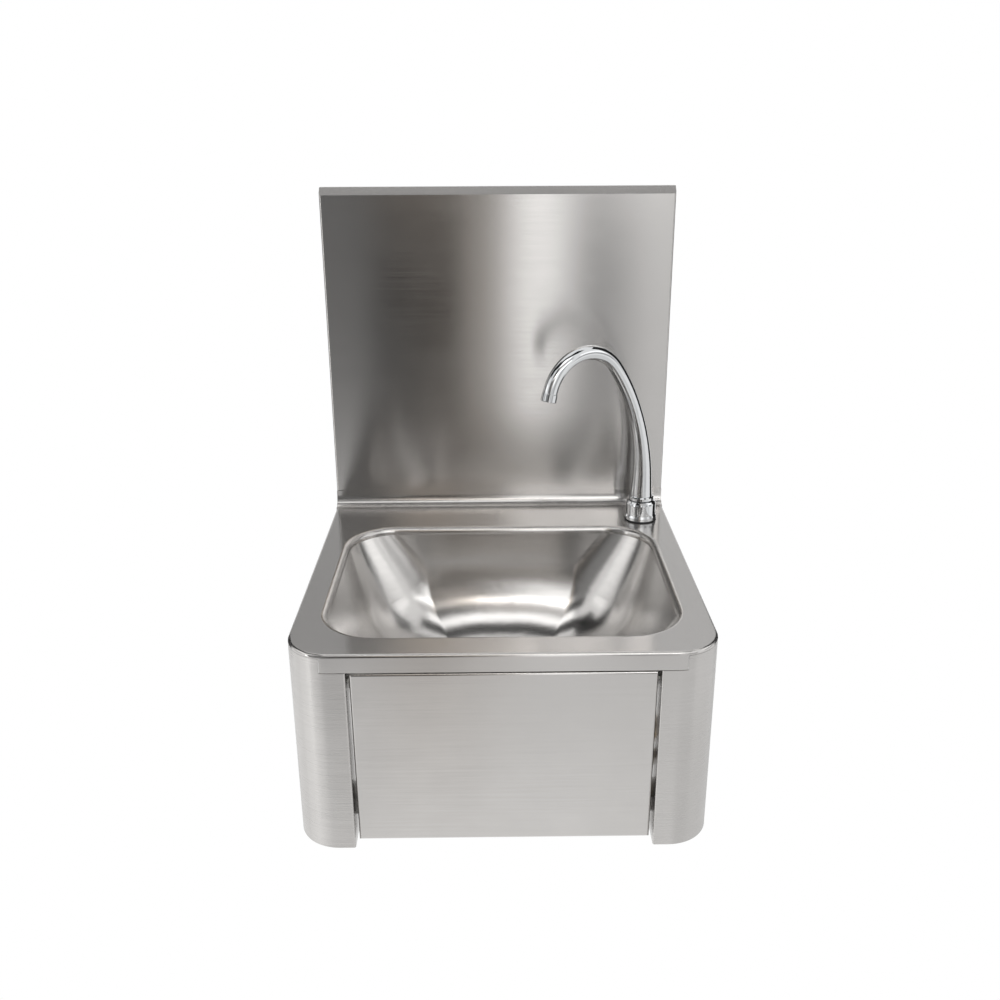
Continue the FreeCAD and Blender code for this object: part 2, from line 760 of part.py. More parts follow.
def make_plunger():
    end = neck_front + plunger_depth
    return rod(plunger_r, V(valve_x, cap_front + cap_thickness / 2, valve_z), V(valve_x, end, valve_z))


def make_plunger_cap():
    """The cap on the plunger, domed so that it rolls on the push pad."""
    dome = (cap_r ** 2 + cap_dome ** 2) / (2 * cap_dome)
    cap = turned(
        [
            (0, 0, 0),
            (cap_r, 0, 0),
            (cap_r, cap_thickness, chamfer),
            (plunger_r + fastener_gap, cap_thickness, 0),
            (plunger_r + fastener_gap, cap_thickness / 2 - seat, 0),
            (0, cap_thickness / 2 - seat, 0),
        ],
        V(valve_x, cap_front, valve_z),
        Y_AXIS,
    )
    return cap.common(Part.makeSphere(dome, V(valve_x, cap_front + dome, valve_z)))


# ---------------------------------------------------------------- mixing body and inlets
def make_union_nut():
    at = V(valve_x, valve_back + seat, valve_z)
    return hex_nut(union_across, union_height, inlet_r, at, Y_AXIS)


def make_mixer_body():
    """A turned body with two side branches and a boss below for the spindle."""
    stub = union_height / 2 - seat
    profile = [
        (0, -stub, 0),
        (inlet_r - stub_inset, -stub, small_chamfer),
        (inlet_r - stub_inset, 0, 0),
        (mixer_r, 0, chamfer),
        (mixer_r, mixer_length, 3 * chamfer),
        (0, mixer_length, 0),
    ]
    body = turned(profile, V(valve_x, mixer_front, valve_z), Y_AXIS)
    centre = V(valve_x, mixer_y, valve_z)
    body = body.fuse(rod(branch_r, centre - X_AXIS * branch_end, centre + X_AXIS * branch_end))
    body = body.fuse(rod(2 * spindle_r, centre, V(valve_x, mixer_y, knob_top + seat)))
    return body.cut(rod(spindle_r + running, centre, V(valve_x, mixer_y, knob_top - seat)))


def make_inlet(side):
    """A hexagon against the mixing body's branch and a threaded end for the supply hose."""
    axis = X_AXIS * side
    at = V(valve_x, mixer_y, valve_z) + axis * branch_end
    inlet = hex_nut(check_across, check_length, inlet_bore_r, at, axis)
    hose_end = at + axis * check_length
    inlet = inlet.fuse(ring(inlet_r, inlet_bore_r, hose_end, axis, inlet_length, chamfer))
    return inlet


def make_non_return_valves():
    """A small sprung cartridge in each inlet."""
    valves = []
    for side in (-1, 1):
        axis = X_AXIS * side
        at = V(valve_x, mixer_y, valve_z) + axis * (branch_end + seat)
        r = inlet_bore_r - fastener_gap
        cartridge = [(0, 0, 0), (r, 0, 0), (r, check_length, 0), (r * 0.75, check_length, 0)]
        cartridge += [(r * 0.75, check_length * 0.8, 0), (r * 0.3, check_length * 0.8, 0)]
        cartridge += [(r * 0.3, check_length, chamfer), (0, check_length, 0)]
        valves.append(turned(cartridge, at, axis))
    return Part.makeCompound(valves)


def make_spindle():
    start = V(valve_x, mixer_y, knob_top - knob_height / 2)
    return rod(spindle_r, start, V(valve_x, mixer_y, valve_z - 2 * seat))


def make_mixer_knob():
    """A knob with scalloped sides, hollow above for the spindle."""
    foot = knob_top - knob_height
    knob = turned(
        [(0, 0, 0), (knob_r, 0, 2 * chamfer), (knob_r, knob_height, chamfer), (0, knob_height, 0)],
        V(valve_x, mixer_y, foot),
        Z_AXIS,
    )
    for i in range(knob_lobes):
        angle = 2 * math.pi * i / knob_lobes
        aside = V(math.cos(angle), math.sin(angle), 0) * 1.25 * knob_r
        hollow = V(valve_x, mixer_y, foot) + aside
        knob = knob.cut(rod(knob_r * 0.4, hollow, hollow + Z_AXIS * knob_height))
    socket = V(valve_x, mixer_y, knob_top - knob_height / 2 - seat)
    return knob.cut(rod(spindle_r + fastener_gap, socket, V(valve_x, mixer_y, knob_top)))


# ---------------------------------------------------------------- feed tube
def make_feed_tube():
    """Across from the valve, back along the side under the deck, then up to the spout's shank."""
    corners = [
        (V(tube_start, outlet_y, valve_z), 0),
        (V(tap_x, outlet_y, valve_z), tube_bend),
        (V(tap_x, tap_y, valve_z), tube_bend),
        (V(tap_x, tap_y, shank_foot + tube_grip), 0),
    ]
    path = Part.Wire(path_edges(corners, False))
    walls = []
    for radius in (tube_r, tube_bore_r):
        section = Part.Wire(Part.Circle(corners[0][0], X_AXIS, radius).toShape())
        walls.append(path.makePipeShell([section], True, False))
    return walls[0].cut(walls[1])


def make_valve_tube_nut():
    at = V(outlet_end + seat, outlet_y, valve_z)
    return hex_nut(tube_nut_across, tube_nut_height, tube_r + fastener_gap, at, X_AXIS)


def make_spout_tube_nut():
    at = V(tap_x, tap_y, shank_foot - seat - tube_nut_height)
    return hex_nut(tube_nut_across, tube_nut_height, tube_r + fastener_gap, at, Z_AXIS)


# ---------------------------------------------------------------- spout
def make_tap_shank():
    foot = V(tap_x, tap_y, shank_foot)
    return ring(shank_r, tube_r + fastener_gap, foot, Z_AXIS, shank_top - shank_foot, chamfer)


def make_tap_base():
    """The chrome ring on the deck, with a socket above for the swivel spigot."""
    socket = spigot_r + running
    floor = base_height - spigot_length
    profile = [
        (shank_r + fastener_gap, 0, 0),
        (base_r, 0, small_chamfer),
        (base_r, base_height * 0.2, chamfer),
        (base_r - chamfer, base_height * 0.24, small_chamfer),
        (base_r - chamfer, base_height * 0.86, chamfer),
        (base_neck_r, base_height, small_chamfer),
        (socket, base_height, 0),
        (socket, floor, 0),
        (spigot_bore_r, floor, 0),
        (spigot_bore_r, floor - socket_step, 0),
        (shank_r + fastener_gap, floor - socket_step, 0),
    ]
    return turned(profile, V(tap_x, tap_y, base_foot), Z_AXIS)


def make_tap_gasket():
    at = V(tap_x, tap_y, deck_top)
    return ring(base_r + seat, shank_r + seat, at, Z_AXIS, gasket_thickness, small_chamfer)


def make_tap_washer():
    at = V(tap_x, tap_y, deck_under - tap_washer)
    return ring(tap_washer_r, shank_r + fastener_gap, at, Z_AXIS, tap_washer)


def make_backnut():
    at = V(tap_x, tap_y, deck_under - tap_washer - backnut_height)
    return hex_nut(backnut_across, backnut_height, shank_r + fastener_gap, at, Z_AXIS)


def seal_grooves():
    """Heights of the two grooves in the spigot, from its foot."""
    return [spigot_length * share - groove / 2 for share in (0.35, 0.7)]


def make_spout_collar():
    """The swivel piece: a grooved spigot in the base and a collar that the pipe stands on."""
    low, high = seal_grooves()
    deep = spigot_r - groove * 0.75
    foot = collar_foot - spigot_length + 2 * seat
    top = pipe_foot - foot
    step = collar_foot - foot
    profile = [(spigot_bore_r, 0, 0), (spigot_r, 0, 0)]
    for start in (low, high):
        end = start + groove
        profile += [(spigot_r, start, 0), (deep, start, 0), (deep, end, 0), (spigot_r, end, 0)]
    profile += [(spigot_r, step, 0), (collar_r, step, chamfer)]
    profile += [(collar_r, top, chamfer), (spigot_bore_r, top, 0)]
    return turned(profile, V(tap_x, tap_y, foot), Z_AXIS)


def make_swivel_seals():
    foot = collar_foot - spigot_length + 2 * seat
    deep = spigot_r - groove * 0.75 + 0.1
    height = groove - 0.3
    seals = [
        ring(spigot_r - 0.05, deep, V(tap_x, tap_y, foot + start + 0.15), Z_AXIS, height, height / 3)
        for start in seal_grooves()
    ]
    return Part.makeCompound(seals)


def neck_place(share):
    """Centre and lean of the swan neck at a share of its length: straight, long bend, tight crook."""
    bend, hook = math.radians(neck_bend), math.radians(crook)
    run = share * neck_length
    up = min(run, neck_rise)
    lean_1 = min(max(run - neck_rise, 0) / neck_bend_r, bend)
    lean_2 = max(run - neck_rise - neck_bend_r * bend, 0) / crook_r
    lean = lean_1 + min(lean_2, hook)
    out = neck_bend_r * (1 - math.cos(lean_1)) + crook_r * (math.cos(lean_1) - math.cos(lean))
    height = up + neck_bend_r * math.sin(lean_1) + crook_r * (math.sin(lean) - math.sin(lean_1))
    return out, pipe_foot + height, lean


def neck_frame(share):
    """Placement whose Z runs along the neck, swung out over the bowl."""
    out, height, lean = neck_place(share)
    centre = V(tap_x, tap_y, height) + spout_toward * out
    return FreeCAD.Placement(centre, FreeCAD.Rotation(spout_hinge, math.degrees(lean)))


def neck_circle(share, inset):
    """The neck narrows quickly over its first part and then keeps one size."""
    radius = pipe_tip_r + (pipe_foot_r - pipe_tip_r) * max(0, 1 - share / pipe_taper) ** 1.5
    circle = Part.Circle(V(0, 0, 0), Z_AXIS, radius - inset).toShape()
    circle.Placement = neck_frame(share)
    return Part.Wire(circle)


def neck_turn(start, end, bend_r, inset):
    """A bend of one radius between two shares of the neck, turned about the bend's centre."""
    frame = neck_frame(start)
    centre = frame.Base + frame.Rotation.multVec(spout_toward) * bend_r
    angle = math.degrees(neck_place(end)[2] - neck_place(start)[2])
    return Part.Face(neck_circle(start, inset)).revolve(centre, spout_hinge, angle)


def neck_solid(inset, ruled):
    """The neck, or its bore when inset by the wall. Only the tapered part is drawn through circles."""
    circles = [neck_circle(pipe_taper * i / neck_sections, inset) for i in range(neck_sections + 1)]
    neck = Part.makeLoft(circles, True, ruled)
    neck = neck.fuse(neck_turn(pipe_taper, crook_start, neck_bend_r, inset))
    return neck.fuse(neck_turn(crook_start, 1, crook_r, inset))


def make_spout_pipe():
    return neck_solid(0, False).cut(neck_solid(pipe_wall, True))


def at_tip(shape):
    shape.Placement = neck_frame(1)
    return shape


def make_aerator_housing():
    profile = [
        (pipe_tip_r - pipe_wall, 0, 0),
        (aerator_r, 0, small_chamfer),
        (aerator_r, aerator_height, small_chamfer),
        (aerator_bore_r, aerator_height, 0),
        (aerator_bore_r, aerator_height - aerator_insert - mouth_rim, 0),
        (pipe_tip_r - pipe_wall, aerator_height - aerator_insert - mouth_rim, 0),
    ]
    return at_tip(turned(profile, V(0, 0, 0), Z_AXIS))


def make_aerator_insert():
    """A disc with a ring of holes, just inside the housing's mouth."""
    start = aerator_height - aerator_insert - mouth_rim + seat
    disc = rod(aerator_bore_r - fastener_gap, V(0, 0, start), V(0, 0, start + aerator_insert))
    holes = [V(0, 0, start)]
    for i in range(6):
        angle = math.radians(60 * i)
        holes.append(V(math.cos(angle), math.sin(angle), 0) * aerator_bore_r * 0.58 + V(0, 0, start))
    for hole in holes:
        disc = disc.cut(rod(aerator_bore_r * 0.16, hole, hole + Z_AXIS * aerator_insert))
    return at_tip(disc)


# ---------------------------------------------------------------- waste
def make_strainer():
    """The perforated flange in the bowl's floor, with a spigot down into the waste body."""
    t = strainer_rim
    plate_foot = 0.27 * t
    profile = [
        (0, plate_foot, 0),
        (strainer_spigot_r - strainer_wall, plate_foot, 0),
        (strainer_spigot_r - strainer_wall, -strainer_spigot, 0),
        (strainer_spigot_r, -strainer_spigot, 0),
        (strainer_spigot_r, 0, 0),
        (strainer_r, 0, 0),
        (strainer_r, t, t / 2),
        (strainer_r * 0.72, t, small_chamfer),
        (strainer_r * 0.62, t * 0.8, small_chamfer),
        (0, t * 0.8, 0),
    ]
    flange = turned(profile, V(0, bowl_y, seal_top), Z_AXIS)
    low, high = V(0, bowl_y, seal_top), V(0, bowl_y, seal_top + 2 * t)
    for i in range(strainer_holes):
        angle = 2 * math.pi * i / strainer_holes
        aside = V(math.cos(angle), math.sin(angle), 0) * strainer_ring_r
        flange = flange.cut(rod(strainer_hole_r, low + aside, high + aside))
    return flange.cut(rod(waste_screw_r + fastener_gap, low, high))


def make_waste_screw():
    head_foot = seal_top + strainer_rim * 0.8
    foot = body_top - waste_boss_drop - waste_boss_height / 2
    r, h = waste_screw_head_r, waste_screw_head
    head = turned([(0, 0, 0), (r, 0, 0), (r, h, chamfer), (0, h, 0)], V(0, bowl_y, head_foot), Z_AXIS)
    return head.fuse(rod(waste_screw_r, V(0, bowl_y, foot), V(0, bowl_y, head_foot)))


def make_upper_seal():
    at = V(0, bowl_y, recess_floor)
    return ring(waste_flange_r, waste_hole_r, at, Z_AXIS, seal_thickness)


def make_lower_seal():
    return ring(waste_flange_r, waste_hole_r, V(0, bowl_y, body_top), Z_AXIS, lower_seal, small_chamfer)


def make_waste_body():
    """A flanged cup with a threaded tail, and a boss on three ribs for the screw."""
    profile = [
        (tail_bore_r, 0, 0),
        (waste_flange_r, 0, 0),
        (waste_flange_r, -waste_flange, chamfer),
        (tail_r + 2 * chamfer, -waste_flange - 3 * chamfer, 2 * chamfer),
        (tail_r, -waste_flange - waste_shoulder, 0),
        (tail_r, -tail_drop, chamfer),
        (tail_bore_r, -tail_drop, 0),
    ]
    body = turned(profile, V(0, bowl_y, body_top), Z_AXIS)
    boss_top = body_top - waste_boss_drop
    boss_foot = boss_top - waste_boss_height
    body = body.fuse(rod(waste_boss_r, V(0, bowl_y, boss_foot), V(0, bowl_y, boss_top)))
    reach = (tail_bore_r + tail_r) / 2
    rib = box(0, reach, -waste_rib / 2, waste_rib / 2, boss_foot, boss_top)
    for i in range(3):
        arm = rib.copy()
        arm.rotate(V(0, 0, 0), Z_AXIS, 120 * i + 30)
        arm.translate(V(0, bowl_y, 0))
        body = body.fuse(arm)
    screw_foot, screw_top = V(0, bowl_y, boss_foot - seat), V(0, bowl_y, boss_top + seat)
    return body.cut(rod(waste_screw_r + fastener_gap, screw_foot, screw_top))


# ---------------------------------------------------------------- the assembly
side_right = make_side()
bush_right = make_bush()

PIECES = {
    "top_deck": make_deck(),
    "wash_bowl": make_bowl(),
    "splashback": make_splashback(),
    "side_panel_left": mirrored(side_right),
    "side_panel_right": side_right,
    "wall_rail": make_wall_rail(),
    "hook_rail": make_hook_rail(),
    "lower_rail": make_lower_rail(),
    "cross_rail": make_cross_rail(),
    "hinge_rod": make_hinge_rod(),
    "hinge_nuts": make_hinge_nuts(),
    "knee_panel": make_knee_panel(),
    "backing_channel": make_backing_channel(),
    "push_pad": make_push_pad(),
    "stop_pads": make_stop_pads(),
    "hinge_bush_left": mirrored(bush_right),
    "hinge_bush_right": bush_right,
    "valve_bracket": make_valve_bracket(),
    "bracket_screws": make_bracket_screws(),
    "valve_body": make_valve_body(),
    "valve_locknut": make_valve_locknut(),
    "valve_plunger": make_plunger(),
    "plunger_cap": make_plunger_cap(),
    "union_nut": make_union_nut(),
    "mixer_body": make_mixer_body(),
    "inlet_cold": make_inlet(-1),
    "inlet_hot": make_inlet(1),
    "non_return_valves": make_non_return_valves(),
    "mixer_spindle": make_spindle(),
    "mixer_knob": make_mixer_knob(),
    "feed_tube": make_feed_tube(),
    "feed_nut_valve": make_valve_tube_nut(),
    "feed_nut_spout": make_spout_tube_nut(),
    "tap_shank": make_tap_shank(),
    "tap_base": make_tap_base(),
    "tap_gasket": make_tap_gasket(),
    "tap_washer": make_tap_washer(),
    "tap_backnut": make_backnut(),
    "spout_collar": make_spout_collar(),
    "swivel_seals": make_swivel_seals(),
    "spout_pipe": make_spout_pipe(),
    "aerator_housing": make_aerator_housing(),
    "aerator_insert": make_aerator_insert(),
    "waste_strainer": make_strainer(),
    "waste_screw": make_waste_screw(),
    "waste_seal_upper": make_upper_seal(),
    "waste_seal_lower": make_lower_seal(),
    "waste_body": make_waste_body(),
}

for name, shape in PIECES.items():
    shape.exportStep(f"parts/{name}.step")
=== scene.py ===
"""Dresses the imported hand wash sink: brushed sheet, chrome spout, brass valve parts, and a plain studio."""
import bmesh
import bpy
import math
from mathutils import Matrix, Vector


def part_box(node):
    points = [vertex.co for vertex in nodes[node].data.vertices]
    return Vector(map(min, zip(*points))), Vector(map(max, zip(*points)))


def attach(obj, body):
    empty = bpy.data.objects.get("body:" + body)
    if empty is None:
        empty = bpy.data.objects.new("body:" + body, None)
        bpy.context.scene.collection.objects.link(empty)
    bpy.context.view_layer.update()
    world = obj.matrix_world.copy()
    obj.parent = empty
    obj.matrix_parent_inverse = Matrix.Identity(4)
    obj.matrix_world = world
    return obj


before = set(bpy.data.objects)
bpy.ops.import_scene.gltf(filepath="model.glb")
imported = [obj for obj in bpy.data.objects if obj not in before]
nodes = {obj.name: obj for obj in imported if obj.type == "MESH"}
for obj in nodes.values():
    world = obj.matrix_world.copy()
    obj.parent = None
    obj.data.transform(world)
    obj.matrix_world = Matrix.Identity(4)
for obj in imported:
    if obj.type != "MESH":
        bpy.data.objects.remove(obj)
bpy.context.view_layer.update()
MM = 0.001


# ---------------------------------------------------------------- camera
CAMERA_PLACE = (-0.010, -1.221, 0.513)
CAMERA_YAW = 0.51  # degrees to the right
CAMERA_PITCH = 20.44  # degrees down
CAMERA_ROLL = -0.29  # degrees about the line of sight
SENSOR_WIDTH = 36  # mm
FOCAL_SHARE = 1.038  # focal length as a share of the sensor's width


def make_camera():
    """The photograph's viewing angle: a little above the deck, nearly square to the splashback."""
    yaw, pitch, roll = (math.radians(angle) for angle in (CAMERA_YAW, CAMERA_PITCH, CAMERA_ROLL))
    forward = Vector((math.sin(yaw) * math.cos(pitch), math.cos(yaw) * math.cos(pitch), -math.sin(pitch)))
    right = Vector((math.cos(yaw), -math.sin(yaw), 0))
    up = right.cross(forward)
    side = math.cos(roll) * right + math.sin(roll) * up
    above = -math.sin(roll) * right + math.cos(roll) * up
    data = bpy.data.cameras.new("camera")
    data.sensor_width = SENSOR_WIDTH
    data.lens = SENSOR_WIDTH * FOCAL_SHARE
    data.clip_start = 0.01
    data.clip_end = 50
    camera = bpy.data.objects.new("camera", data)
    bpy.context.scene.collection.objects.link(camera)
    camera.matrix_world = Matrix((*zip(side, above, -forward, CAMERA_PLACE), (0, 0, 0, 1)))
    bpy.context.scene.camera = camera


make_camera()


# ---------------------------------------------------------------- node helpers
class Graph:
    """The node tree of a material or world, with short calls for the nodes used here."""

    def __init__(self, owner, output):
        owner.use_nodes = True
        self.owner = owner
        self.tree = owner.node_tree
        self.tree.nodes.clear()
        self.surface = self.add(output).inputs["Surface"]

    def add(self, kind, **settings):
        node = self.tree.nodes.new(kind)
        for key, value in settings.items():
            setattr(node, key, value)
        return node

    def put(self, socket, value):
        """Links a socket to another one, or gives it a fixed value."""
        if isinstance(value, bpy.types.NodeSocket):
            self.tree.links.new(value, socket)
        else:
            socket.default_value = value

    def pair(self, kind, operation, a, b):
        node = self.add(kind, operation=operation)
        self.put(node.inputs[0], a)
        self.put(node.inputs[1], b)
        return node.outputs[0]

    def math(self, operation, a, b=0.0):
        return self.pair("ShaderNodeMath", operation, a, b)

    def vector(self, operation, a, b):
        return self.pair("ShaderNodeVectorMath", operation, a, b)

    def position(self):
        return self.add("ShaderNodeTexCoord").outputs["Object"]

    def apart(self, vector):
        node = self.add("ShaderNodeSeparateXYZ")
        self.put(node.inputs[0], vector)
        return node.outputs

    def noise(self, vector, scale, detail, roughness):
        node = self.add("ShaderNodeTexNoise")
        self.put(node.inputs["Vector"], vector)
        self.put(node.inputs["Scale"], scale)
        self.put(node.inputs["Detail"], detail)
        self.put(node.inputs["Roughness"], roughness)
        return node.outputs["Fac"]

    def span(self, value, low, high, to_low=0.0, to_high=1.0):
        node = self.add("ShaderNodeMapRange")
        self.put(node.inputs["Value"], value)
        for key, number in zip(("From Min", "From Max", "To Min", "To Max"), (low, high, to_low, to_high)):
            self.put(node.inputs[key], number)
        return node.outputs["Result"]

    def mix(self, factor, a, b):
        node = self.add("ShaderNodeMix", data_type="RGBA")
        self.put(node.inputs["Factor"], factor)
        self.put(node.inputs["A"], a)
        self.put(node.inputs["B"], b)
        return node.outputs["Result"]

    def bump(self, height, strength, distance):
        node = self.add("ShaderNodeBump")
        self.put(node.inputs["Strength"], strength)
        self.put(node.inputs["Distance"], distance)
        self.put(node.inputs["Height"], height)
        return node.outputs["Normal"]

    def shader(self, **sockets):
        node = self.add("ShaderNodeBsdfPrincipled")
        for key, value in sockets.items():
            self.put(node.inputs[key.replace("_", " ")], value)
        self.put(self.surface, node.outputs[0])


def material_graph(name):
    return Graph(bpy.data.materials.new(name), "ShaderNodeOutputMaterial")


def colour(r, g, b):
    return (r, g, b, 1.0)


def grey(value, warm=0.0):
    return colour(value * (1 + warm), value, value * (1 - warm))


def darker(tint, share):
    return colour(*(c * share for c in tint[:3]))


# ---------------------------------------------------------------- materials
BRUSH_DEPTH = 0.00004
SCRATCH_DEPTH = 0.00001
CAST_DEPTH = 0.00005
NOISE_LOW, PATCH_LOW, NOISE_HIGH = 0.3, 0.35, 0.7  # the stretch of a noise's values that the materials use
FINE_LINES = 2.7  # how much closer the second set of brush lines lies
END_FACE = 0.99  # from this share of the normal along an axis on, a face counts as square to that axis


def brushed(name, tint, roughness, grain, stretch, anisotropic, level=False, depth=0.25):
    """Brushed sheet: fine lines along the grain in roughness and bump, and soft stains.

    The grain runs along X, or level round the walls. On a face square to X, or on a level face where the
    grain is level, that line has no direction, so another axis takes its place."""
    g = material_graph(name)
    here = g.position()
    lines = g.noise(g.vector("MULTIPLY", here, stretch), grain, detail=1.0, roughness=0.5)
    closer = tuple(s * FINE_LINES for s in stretch)
    fine = g.noise(g.vector("MULTIPLY", here, closer), grain, detail=1.0, roughness=0.5)
    patch = g.noise(here, 9.0, detail=4.0, roughness=0.6)
    both = g.math("ADD", g.math("MULTIPLY", lines, 0.5), g.math("MULTIPLY", fine, 0.5))
    lined = g.span(both, NOISE_LOW, NOISE_HIGH, *roughness)
    rough = g.math("ADD", lined, g.span(patch, NOISE_LOW, NOISE_HIGH, -0.02, 0.02))
    stained = g.span(patch, PATCH_LOW, NOISE_HIGH, 0.0, 0.5)
    stain = g.math("ADD", stained, g.span(both, NOISE_LOW, NOISE_HIGH, 0.0, 0.5))
    normal = g.add("ShaderNodeNewGeometry").outputs["Normal"]
    if level:
        grain_line, turned, axis = g.vector("CROSS_PRODUCT", (0.0, 0.0, 1.0), normal), colour(1, 0, 0), "Z"
    else:
        grain_line, turned, axis = colour(1, 0, 0), colour(0, 1, 0), "X"
    end_face = g.math("GREATER_THAN", g.math("ABSOLUTE", g.apart(normal)[axis]), END_FACE)
    g.shader(
        Base_Color=g.mix(stain, tint, darker(tint, 0.90)),
        Metallic=1.0,
        Roughness=rough,
        Anisotropic=anisotropic,
        Tangent=g.vector("CROSS_PRODUCT", normal, g.mix(end_face, grain_line, turned)),
        Normal=g.bump(both, depth, BRUSH_DEPTH),
    )
    return g.owner


def polished(name, tint, roughness, scratch=0.1):
    """Polished or plated metal: a soft haze in roughness and very fine scratches."""
    g = material_graph(name)
    here = g.position()
    haze = g.noise(here, 60.0, detail=4.0, roughness=0.6)
    fine = g.noise(here, 900.0, detail=2.0, roughness=0.5)
    rough = g.span(haze, PATCH_LOW, NOISE_HIGH, roughness, roughness + 0.05)
    g.shader(Base_Color=tint, Metallic=1.0, Roughness=rough, Normal=g.bump(fine, scratch, SCRATCH_DEPTH))
    return g.owner


def grained(name, tint, roughness, grain, depth, metallic=0.0):
    """Cast metal, rubber, plastic or paint: soft patches in colour and a fine grain."""
    g = material_graph(name)
    here = g.position()
    patch = g.noise(here, 30.0, detail=4.0, roughness=0.6)
    fine = g.noise(here, grain, detail=3.0, roughness=0.6)
    shade = g.mix(g.span(patch, NOISE_LOW, NOISE_HIGH), tint, darker(tint, 0.85))
    rough = g.span(fine, NOISE_LOW, NOISE_HIGH, roughness - 0.05, roughness + 0.08)
    g.shader(Base_Color=shade, Metallic=metallic, Roughness=rough, Normal=g.bump(fine, depth, CAST_DEPTH))
    return g.owner


# brushed: name, tint, roughness from and to, scale of the grain, its stretch, anisotropy, level, depth.
# polished: name, tint, roughness, scratches. grained: name, tint, roughness, scale of the grain, its depth.
STEEL = colour(0.62, 0.605, 0.59)
BOWL_STEEL = colour(0.64, 0.625, 0.61)
MILL_STEEL = colour(0.50, 0.50, 0.49)
ALONG_X = (0.6, 80.0, 200.0)  # how the grain's noise is stretched, per axis
LEVEL = (1.2, 1.2, 150.0)
COARSE = (2.0, 60.0, 60.0)
BY_SLOT = {
    "sheet_steel": brushed("sheet_brushed", STEEL, (0.15, 0.21), 12.0, ALONG_X, 0.93, depth=0.012),
    "bowl_steel": brushed("bowl_satin", BOWL_STEEL, (0.18, 0.23), 12.0, LEVEL, 0.15, True, 0.02),
    "rail_steel": brushed("rail_mill", MILL_STEEL, (0.34, 0.46), 10.0, COARSE, 0.4),
    "fixing_steel": polished("fixing_zinc", colour(0.62, 0.62, 0.60), 0.25),
    "chrome": polished("chrome", colour(0.68, 0.69, 0.70), 0.03, 0.02),
    "tube_steel": polished("tube_drawn", colour(0.62, 0.61, 0.60), 0.20),
    "brass": grained("brass_cast", colour(0.62, 0.44, 0.20), 0.30, 500.0, 0.25, metallic=1.0),
    "rubber": grained("rubber_black", colour(0.025, 0.025, 0.026), 0.65, 900.0, 0.5),
    "white_nylon": grained("nylon_white", colour(0.78, 0.77, 0.73), 0.42, 600.0, 0.15),
    "black_plastic": grained("plastic_black", colour(0.035, 0.036, 0.038), 0.38, 1200.0, 0.4),
}
SIDE = brushed("side_brushed", STEEL, (0.20, 0.29), 12.0, LEVEL, 0.9, True, 0.03)
MARK_RED = grained("mark_red", colour(0.45, 0.02, 0.02), 0.40, 900.0, 0.1)
MARK_BLUE = grained("mark_blue", colour(0.02, 0.08, 0.40), 0.40, 900.0, 0.1)
WELD = grained("weld_bead", colour(0.42, 0.39, 0.36), 0.35, 700.0, 0.4, metallic=1.0)

for node in nodes.values():
    for entry in node.material_slots:
        entry.material = BY_SLOT[entry.material.name.split(".")[0]]
for name in ("side_panel_left", "side_panel_right"):
    nodes[name].material_slots[0].material = SIDE


# ---------------------------------------------------------------- pieces that the solids don't show
UPWARD = Vector((0, 0, 1))
TURN_STEPS = 36  # sections in one turn of a thread
RING_STEPS = 72
BEAD_SIDES = 8
RIPPLE, RIPPLE_ANGLE = 0.10, 1.9  # how much a weld's bead swells, and how far its wave runs in one step


def middle(node):
    low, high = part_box(node)
    return Vector([(a + b) / 2 for a, b in zip(low, high)])


def on_axis(node, height):
    """The point at a height on a node's upright axis."""
    centre = middle(node)
    return Vector((centre.x, centre.y, height))


def add_piece(name, shape_data, body, slot, paint=None, bevel=0.0):
    """A piece from its vertices and faces, in its slot's material where no paint is named."""
    vertices, faces = shape_data
    mesh = bpy.data.meshes.new(name)
    shape = bmesh.new()
    points = [shape.verts.new(v) for v in vertices]
    for face in faces:
        shape.faces.new([points[i] for i in face])
    bmesh.ops.recalc_face_normals(shape, faces=shape.faces)
    shape.to_mesh(mesh)
    shape.free()
    for poly in mesh.polygons:
        poly.use_smooth = True
    mesh.materials.append(paint or BY_SLOT[slot])
    thing = bpy.data.objects.new(name, mesh)
    bpy.context.scene.collection.objects.link(thing)
    if bevel:
        edge = thing.modifiers.new("edge", "BEVEL")
        edge.width = bevel
        edge.segments = 3
        edge.limit_method = "ANGLE"
        edge.harden_normals = True
    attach(thing, body)


def swept(frames, closed):
    """Vertices and faces of a section carried along: frames is a list of equal rings of points."""
    count = len(frames[0])
    vertices = [point for ring in frames for point in ring]
    faces = []
    for i in range(len(frames) if closed else len(frames) - 1):
        here, ahead = i * count, (i + 1) % len(frames) * count
        for k in range(count):
            after = (k + 1) % count
            faces.append((here + k, ahead + k, ahead + after, here + after))
    if not closed:
        faces.append(tuple(range(count)))
        faces.append(tuple(range((len(frames) - 1) * count, len(frames) * count)))
    return vertices, faces


def outward(axis, angle):
    """The direction out from an axis at an angle about it."""
    side = axis.orthogonal().normalized()
    return side * math.cos(angle) + axis.cross(side) * math.sin(angle)


def thread(name, at, axis, slot, radius, start, end, pitch):
    """A helical ridge along an axis, running out over half a turn at both ends."""
    axis = Vector(axis)
    height = 0.3 * pitch
    foot, flat = 0.42, 0.07  # half widths of the ridge's foot and crest, as shares of the pitch
    sunk = 0.1 * MM
    turns = (end - start) / pitch
    count = int(turns * TURN_STEPS)
    frames = []
    for i in range(count + 1):
        share = i / count
        out = outward(axis, 2 * math.pi * turns * share)
        crest = height * min(1, 2 * turns * share, 2 * turns * (1 - share)) + 0.02 * MM
        centre = at + axis * (start + (end - start) * share)
        section = [(-foot, -sunk), (-flat, crest), (flat, crest), (foot, -sunk)]
        frames.append([centre + axis * (along * pitch) + out * (radius + lift) for along, lift in section])
    add_piece(name, swept(frames, False), "basin", slot)


